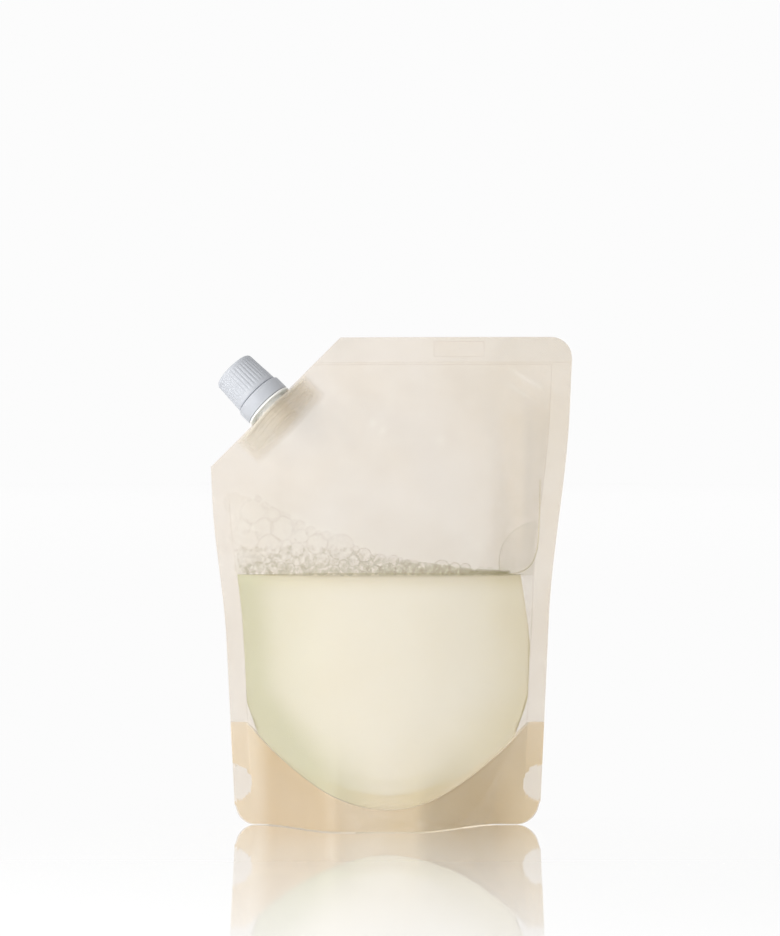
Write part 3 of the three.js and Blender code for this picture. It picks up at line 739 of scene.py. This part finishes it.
def wash_half(x, z, side):
    """The liquid's half depth: it fills the film, and rounds off at its ends."""
    low, high = shores(z)
    end = min(max(min(x - low, high - x) / END_ROUND, 0), 1)
    room = chamber_half(x, z) + ripple(x, z, side) - FILM_CLEARANCE
    return max(room * math.sqrt(end * (2 - end)), LAYER_GAP)


def body_wash():
    """A grid wrapped round the liquid: up its front from under the middle, and down its back."""
    bm = bmesh.new()
    rim, low, surface, under = (bm.verts.layers.float.new(key) for key in ("rim", "low", "surface", "under"))
    bmesh.ops.create_grid(bm, x_segments=WASH_COLUMNS, y_segments=WASH_RING, size=0.5)
    for v in bm.verts:
        share = 0.5 + 0.5 * math.sin(v.co.x * math.pi)
        ring = (v.co.y + 0.5) * 4
        side = -1 if ring < 2 else 1
        part = ring if ring < 2 else 4 - ring
        foot_x = across_wash(share, GUSSET_SEAL)
        seam = gusset_seal(foot_x)
        x = foot_x
        if part <= 0.5:
            t = part / 0.5
            half = t * max(chamber_half(x, seam) - SURFACE_DEPTH, LAYER_GAP)
            z = crossing_height(x, t) + SURFACE_DEPTH
        elif part <= 1.5:
            z = max(mix(seam, WASH_LEVEL, part - 0.5), crossing_height(foot_x, 1) + SURFACE_DEPTH)
            x = across_wash(share, z)
            half = wash_half(x, z, side)
        else:
            z = WASH_LEVEL
            x = across_wash(share, z)
            half = wash_half(x, z, side) * (2 - part) / 0.5
        v.co = (x, middle(x, z) + side * half, z)
        v[rim] = rim_at(x, z)
        v[low] = low_at(x, z)
        v[surface] = 1 if part >= 1.5 else 0
        v[under] = 1 if part < 0.49 else 0
    bmesh.ops.remove_doubles(bm, verts=bm.verts, dist=0.000005)
    bmesh.ops.holes_fill(bm, edges=[e for e in bm.edges if e.is_boundary])
    bmesh.ops.recalc_face_normals(bm, faces=bm.faces)
    return finished("body_wash_fill", bm, wash_material(), "pouch")


wash = body_wash()
wash.visible_shadow = False
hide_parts("body_wash")

# The bead of liquid: it creeps up the corner between the front panel and the right side seal,
# and hangs there as a narrow dark line above the level.
BEAD_RADIUS = 0.00032
BEAD_DEPTH = 0.0006
BEAD_PLACES = [
    (0.0698, 0.1587), (0.0694, 0.1404), (0.0690, 0.1312), (0.0683, 0.1257),
    (0.0664, 0.1202), (0.0628, 0.1167), (0.0574, 0.1153), (0.0500, 0.1150),
]


def right_bead(material):
    """A thin round line that follows the front film's inner side, made a mesh."""
    line = bpy.data.curves.new("right_bead", "CURVE")
    line.dimensions = "3D"
    line.bevel_depth = BEAD_RADIUS
    line.bevel_resolution = 2
    line.use_fill_caps = True
    path = line.splines.new("NURBS")
    path.points.add(len(BEAD_PLACES) - 1)
    for point, (x, z) in zip(path.points, BEAD_PLACES):
        point.co = (x, middle(x, z) - max(chamber_half(x, z) - BEAD_DEPTH, 0), z, 1)
    path.order_u = 4
    path.use_endpoint_u = True
    drawn = bpy.data.objects.new("right_bead", line)
    bpy.context.scene.collection.objects.link(drawn)
    bm = bmesh.new()
    bm.from_mesh(drawn.to_mesh())
    bpy.data.objects.remove(drawn)
    surface = bm.verts.layers.float.new("surface")
    for v in bm.verts:
        # The bead takes the liquid's painted shade, fading out upwards.
        v[surface] = 0.45 * (1 - ease((v.co.z - 0.125) / 0.030))
    bmesh.ops.recalc_face_normals(bm, faces=bm.faces)
    return finished("right_bead", bm, material, "pouch")


bead = right_bead(wash.data.materials[0])
bead.visible_shadow = False

# The foam: soap bubbles on the liquid, fine along its top and larger where it climbs the
# panels at the spout's side.
draw = random.Random(11)
# How high the foam stands above the level, from left to right.
FROTH_TOP = [
    (-0.072, 0.036), (-0.060, 0.036), (-0.046, 0.028), (-0.036, 0.022), (-0.027, 0.0195), (-0.018, 0.0150),
    (-0.006, 0.0105), (0.004, 0.0085), (0.022, 0.0055), (0.030, 0.0045), (0.036, 0.0028), (0.052, 0.0012),
]
# Radius, how many, fineness of the mesh, and how far above the level the smallest place is.
BUBBLE_SIZES = [
    (0.0058, 14, 4, 0.013),
    (0.0040, 40, 3, 0.007),
    (0.0026, 120, 3, 0.003),
    (0.0016, 330, 2, 0.0),
    (0.0011, 300, 2, 0.0),
]
FINE_BUBBLES = 1700
FINE_RADIUS = 0.0009
BIG_BUBBLE = (0.0697, 0.1207, 0.0189)
LONE_BUBBLE = (0.0242, 0.1183, 0.0040)
RIM = 0.00040
# How dark a rim is, for bubbles below each radius.
RIM_DARKNESS = [(0.00109, 0.09), (0.002, 0.35), (0.01, 0.6), (1, 3)]
BUBBLE_CLEARANCE = 0.0005


def froth_rise(x):
    return read_off(FROTH_TOP, x)


def foam_material():
    """Soap film: nearly clear across a bubble's face, and dark along its rim."""
    material, tree, shader = new_material("soap_bubbles")
    width = attribute(tree, "rim_width")
    rim = node(tree, "ShaderNodeMapRange", interpolation_type="SMOOTHSTEP")
    tree.links.new(turned_away(tree), rim.inputs["Value"])
    tree.links.new(maths(tree, "SUBTRACT", 1, width), rim.inputs["From Min"])
    tree.links.new(maths(tree, "SUBTRACT", 1, maths(tree, "MULTIPLY", width, 0.45)), rim.inputs["From Max"])
    rim = rim.outputs["Result"]
    height = object_axes(tree)["Z"]
    deep = ranged(tree, height, WASH_LEVEL, WASH_LEVEL + 0.010, 1, 0)
    milk = blended(tree, mottled(tree, 220), (0.72, 0.69, 0.56), (0.56, 0.54, 0.41))
    milk = blended(tree, deep, milk, (0.46, 0.47, 0.22))
    tree.links.new(blended(tree, rim, milk, (0.22, 0.22, 0.13)), shader.inputs["Base Color"])
    edge = maths(tree, "MULTIPLY", maths(tree, "MULTIPLY", rim, attribute(tree, "rim_dark")), 0.46)
    low = ranged(tree, height, WASH_LEVEL + 0.004, WASH_LEVEL + 0.018, 1, 0.25)
    face = maths(tree, "ADD", maths(tree, "MULTIPLY", deep, 0.030), 0.038)
    tree.links.new(maths(tree, "ADD", face, maths(tree, "MULTIPLY", edge, low)), shader.inputs["Alpha"])
    shader.inputs["Roughness"].default_value = 0.4
    shader.inputs["Specular IOR Level"].default_value = 0.3
    return material


def settle(bm, verts, radius):
    """Presses a bubble flat where the film leaves it no room, and notes how its rim looks."""
    width, dark = (bm.verts.layers.float[key] for key in ("rim_width", "rim_dark"))
    for v in verts:
        v[width] = min(math.sqrt(2 * RIM / radius), 0.85)
        v[dark] = next(darkness for limit, darkness in RIM_DARKNESS if radius < limit)
        room = max(chamber_half(v.co.x, v.co.z) - BUBBLE_CLEARANCE, 0.0001)
        at = v.co.y
        v.co.y = middle(v.co.x, v.co.z) + min(max(at, -room), room)


def bubble(bm, x, z, radius, side, fineness):
    room = max(chamber_half(x, z) - BUBBLE_CLEARANCE, 0.0003)
    squash = min(1, room / radius)
    y = side * max(room - radius * squash, 0)
    shape = Matrix.Translation((x, y, z)) @ Matrix.Diagonal((1, squash, 1, 1))
    made = bmesh.ops.create_icosphere(bm, subdivisions=fineness, radius=radius, matrix=shape)
    settle(bm, made["verts"], radius)


def corner_bubble(bm):
    """The one large bubble, cut flat at the right seal and at the level. It is made first, alone."""
    x, z, radius = BIG_BUBBLE
    shape = Matrix.Translation((x, 0, z)) @ Matrix.Diagonal((1, 0.8, 1, 1))
    bmesh.ops.create_icosphere(bm, subdivisions=5, radius=radius, matrix=shape)
    for at, way in (((0.0675, 0, 0.13), (1, 0, -0.08)), ((0, 0, WASH_LEVEL), (0, 0, -1))):
        whole = bm.verts[:] + bm.edges[:] + bm.faces[:]
        cut = bmesh.ops.bisect_plane(bm, geom=whole, plane_co=at, plane_no=way, clear_outer=True)
        rim = [e for e in cut["geom_cut"] if isinstance(e, bmesh.types.BMEdge)]
        bmesh.ops.holes_fill(bm, edges=rim)
    settle(bm, bm.verts, radius)


def foam():
    bm = bmesh.new()
    bm.verts.layers.float.new("rim_width")
    bm.verts.layers.float.new("rim_dark")
    corner_bubble(bm)
    bubble(bm, *LONE_BUBBLE, -1, 3)
    placed = [LONE_BUBBLE]
    for radius, count, fineness, least_rise in BUBBLE_SIZES:
        tries = 0
        made = 0
        while made < count and tries < count * 25:
            tries += 1
            x = draw.uniform(-0.0715, 0.0520)
            top = froth_rise(x)
            r = radius * draw.uniform(0.75, 1.2)
            if top < least_rise:
                continue
            rise = max(least_rise, r * 0.8) + (top - least_rise) * draw.random() ** 1.5
            z = WASH_LEVEL + rise
            if rise + r * 0.6 > max(top, 2 * r) or abs(station_at(x, z)) > 0.985:
                continue
            if any(math.hypot(x - px, z - pz) < 0.80 * (r + pr) for px, pz, pr in placed):
                continue
            placed.append((x, z, r))
            bubble(bm, x, z, r, -1, fineness)
            made += 1
    for _ in range(FINE_BUBBLES):
        x = draw.uniform(-0.0700, 0.0560)
        z = WASH_LEVEL + 0.0004 + min(froth_rise(x) * 0.75, 0.0125) * draw.random() ** 1.35
        if abs(station_at(x, z)) < 0.985:
            bubble(bm, x, z, FINE_RADIUS * draw.uniform(0.6, 1.2), draw.uniform(-1, 1), 1)
    return finished("foam_bubbles", bm, foam_material(), "pouch")


froth = foam()
froth.visible_shadow = False
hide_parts("foam")

# The tamper band: a smooth white polyethylene collar. It is moulded with a bevelled upper edge
# and an inner hook, and snapped over the neck's bead.
BAND_RADIUS = 0.01195
BAND_BORE = 0.0102
BAND_HOOK = 0.0086
BAND_FROM = 0.0014
BAND_TO = 0.0082
TURNED_STEPS = 96


def arc(radius, height, size, start, end, steps):
    """Profile points round a corner, between two angles in degrees."""
    turns = [math.radians(mix(start, end, k / steps)) for k in range(steps + 1)]
    return [(radius + size * math.cos(turn), height + size * math.sin(turn)) for turn in turns]


def turned(profile, steps):
    """A turned form about the upright axis, from (radius, height) points."""
    bm = bmesh.new()
    points = [bm.verts.new((radius, 0, height)) for radius, height in profile]
    lines = [bm.edges.new(pair) for pair in zip(points, points[1:])]
    bmesh.ops.spin(
        bm, geom=points + lines, cent=(0, 0, 0), axis=(0, 0, 1), angle=math.tau, steps=steps, use_merge=True)
    bmesh.ops.remove_doubles(bm, verts=bm.verts, dist=0.000002)
    bmesh.ops.recalc_face_normals(bm, faces=bm.faces)
    return bm


white = moulded("white_polyethylene", (0.50, 0.517, 0.55), (0.485, 0.502, 0.535), 0.05)[0]
band_profile = [(BAND_HOOK, BAND_FROM), (BAND_RADIUS - 0.0003, BAND_FROM)]
band_profile += arc(BAND_RADIUS - 0.0003, BAND_FROM + 0.0003, 0.0003, -90, 0, 3)
band_profile += arc(BAND_RADIUS - 0.0008, BAND_TO - 0.0008, 0.0008, 0, 90, 6)
band_profile += [(BAND_BORE, BAND_TO), (BAND_BORE, BAND_FROM + 0.0016)]
band_profile += [(BAND_HOOK, BAND_FROM + 0.0013), (BAND_HOOK, BAND_FROM)]
band_bm = turned(band_profile, TURNED_STEPS)
bmesh.ops.transform(band_bm, matrix=spout_frame, verts=band_bm.verts)
collar = finished("collar", band_bm, white, "tamper_band")
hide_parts("tamper_band")

# The screw cap: one moulding of the same white polyethylene. Its side has fine grip ribs up to a
# rounded edge, its top is slightly dished, and inside it has a thread and a plug ring.
CAP_FROM = 0.0085
CAP_TO = 0.0251
CAP_RADIUS = 0.01105
CAP_TIP_RADIUS = 0.01025
CAP_EDGE = 0.0017
CAP_DISH = 0.0004
CAVITY_TOP = 0.0229
CAVITY_RADIUS = 0.00935
PLUG_RADIUS = 0.0067
PLUG_WALL = 0.0008
PLUG_LENGTH = 0.0026
RIBS = 36
RIB_DEPTH = 0.00021
RIB_FROM = 0.0106
RIB_TO = 0.0236
THREAD_PITCH = 0.004
THREAD_DEPTH = 0.00085
THREAD_FROM = 0.0102
THREAD_TURNS = 1.1
THREAD_HALF_WIDTH = 0.00085
THREAD_FLANK = 0.00045
CAP_STEPS = 288


def groove(angle, height):
    """Depth of the grip grooves at a place on the cap's side: they run out at both ends."""
    turn = (angle / math.tau * RIBS) % 1
    hollow = ease((turn - 0.42) / 0.22) * (1 - ease((turn - 0.78) / 0.22))
    ends = ease((height - RIB_FROM) / 0.0009) * ease((RIB_TO - height) / 0.0014)
    return RIB_DEPTH * hollow * ends


def inner_thread(angle, height):
    """How far the cap's thread stands into its cavity at a place."""
    turns = ((angle - math.pi) / math.tau) % 1
    best = 0
    for whole in (0, 1):
        along = turns + whole
        if along > THREAD_TURNS:
            continue
        off = abs(height - THREAD_FROM - THREAD_PITCH * along)
        ends = min(1, along / 0.1, (THREAD_TURNS - along) / 0.1)
        best = max(best, ends * min(max((THREAD_HALF_WIDTH - off) / THREAD_FLANK, 0), 1))
    return THREAD_DEPTH * best


def screw_cap(material):
    """The cap's profile spun about its axis, then cut by its grooves and raised by its thread."""
    side_low, side_high = CAP_FROM + 0.0003, CAP_TO - CAP_EDGE
    side = [(mix(CAP_RADIUS, CAP_TIP_RADIUS, k / 26), mix(side_low, side_high, k / 26)) for k in range(27)]
    cavity = [(mix(0.0092, CAVITY_RADIUS, k / 34), mix(CAVITY_TOP, side_low, k / 34)) for k in range(35)]
    plug_bore, plug_end = PLUG_RADIUS - PLUG_WALL, CAVITY_TOP - PLUG_LENGTH
    profile = [(0, CAVITY_TOP), (plug_bore, CAVITY_TOP), (plug_bore, plug_end + 0.0002)]
    profile += [(plug_bore + 0.0002, plug_end), (PLUG_RADIUS - 0.0002, plug_end)]
    profile += [(PLUG_RADIUS, plug_end + 0.0002), (PLUG_RADIUS, CAVITY_TOP)]
    profile += cavity + [(CAVITY_RADIUS + 0.0003, CAP_FROM), (CAP_RADIUS - 0.0003, CAP_FROM)] + side
    profile += arc(CAP_TIP_RADIUS - CAP_EDGE, CAP_TO - CAP_EDGE, CAP_EDGE, 0, 90, 9)[1:]
    dish = CAP_TO - CAP_DISH
    profile += [(0.0079, CAP_TO - CAP_DISH / 2), (0.0073, dish), (0.003, dish), (0, dish)]
    bm = turned(profile, CAP_STEPS)
    for v in bm.verts:
        radius = math.hypot(v.co.x, v.co.y)
        angle = math.atan2(v.co.y, v.co.x)
        if radius > CAP_TIP_RADIUS - CAP_EDGE and v.co.z > CAVITY_TOP or radius > 0.0099:
            moved = radius - groove(angle, v.co.z)
        elif radius > 0.0091 and v.co.z > CAP_FROM:
            moved = radius - inner_thread(angle, v.co.z)
        else:
            continue
        v.co.x *= moved / radius
        v.co.y *= moved / radius
    bmesh.ops.transform(bm, matrix=spout_frame, verts=bm.verts)
    return finished("ribbed_cap", bm, material, "cap")


cap = screw_cap(white)
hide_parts("screw_cap")

# The studio: a glossy white table that runs into a white backdrop, a broad soft light from
# the left and a weak one from the right.
BACKDROP = 0.973
floor_bm = bmesh.new()
bmesh.ops.create_circle(floor_bm, cap_ends=True, segments=3, radius=40)
floor_mesh = bpy.data.meshes.new("floor")
floor_bm.to_mesh(floor_mesh)
floor_bm.free()
floor = bpy.data.objects.new("floor", floor_mesh)
bpy.context.scene.collection.objects.link(floor)


def seen_rays(tree):
    """1 for the rays that show a surface to the camera, straight or by gloss."""
    rays = node(tree, "ShaderNodeLightPath")
    seen = maths(tree, "MAXIMUM", rays.outputs["Is Camera Ray"], rays.outputs["Is Glossy Ray"])
    return maths(tree, "MAXIMUM", seen, rays.outputs["Is Transmission Ray"])


gloss, tree, shader = new_material("glossy_white_table")
shader.inputs["Base Color"].default_value = (0.90, 0.90, 0.90, 1)
shader.inputs["Roughness"].default_value = 0.5
shader.inputs["Specular IOR Level"].default_value = 0
shader.inputs["Emission Color"].default_value = (1, 1, 1, 1)
tree.links.new(maths(tree, "MULTIPLY", seen_rays(tree), 0.26), shader.inputs["Emission Strength"])
mirror = node(tree, "ShaderNodeBsdfGlossy")
mirror.inputs["Roughness"].default_value = 0.03
mirror.inputs["Color"].default_value = (1, 1, 1, 1)
# The nearer the camera, the less the table mirrors.
near = node(tree, "ShaderNodeMapRange")
tree.links.new(object_axes(tree)["Y"], near.inputs["Value"])
for key, value in (("From Min", -0.44), ("From Max", 0.04), ("To Min", 0.30), ("To Max", 1.0)):
    near.inputs[key].default_value = value
joined = node(tree, "ShaderNodeMixShader")
tree.links.new(near.outputs["Result"], joined.inputs[0])
tree.links.new(shader.outputs[0], joined.inputs[1])
tree.links.new(mirror.outputs[0], joined.inputs[2])
tree.links.new(joined.outputs[0], tree.nodes["Material Output"].inputs["Surface"])
floor_mesh.materials.append(gloss)

world = bpy.data.worlds.new("studio")
bpy.context.scene.world = world
world.use_nodes = True
tree = world.node_tree
lighting = tree.nodes["Background"]
lighting.inputs["Color"].default_value = (1, 1, 1, 1)
lighting.inputs["Strength"].default_value = 0.58
backdrop = node(tree, "ShaderNodeBackground")
backdrop.inputs["Color"].default_value = (BACKDROP, BACKDROP, BACKDROP, 1)
choice = node(tree, "ShaderNodeMixShader")
tree.links.new(seen_rays(tree), choice.inputs[0])
tree.links.new(lighting.outputs[0], choice.inputs[1])
tree.links.new(backdrop.outputs[0], choice.inputs[2])
tree.links.new(choice.outputs[0], tree.nodes["World Output"].inputs["Surface"])


def softbox(name, place, towards, size, power):
    data = bpy.data.lights.new(name, "AREA")
    data.shape = "RECTANGLE"
    data.size, data.size_y = size
    data.energy = power
    lamp = bpy.data.objects.new(name, data)
    lamp.location = place
    lamp.rotation_euler = (Vector(towards) - Vector(place)).to_track_quat("-Z", "Y").to_euler()
    bpy.context.scene.collection.objects.link(lamp)


softbox("key_left", (-1.25, -1.0, 0.45), (0, 0, 0.12), (0.9, 0.8), 18)
softbox("fill_front", (0.9, -1.6, 0.9), (0, 0, 0.12), (1.0, 1.0), 3)
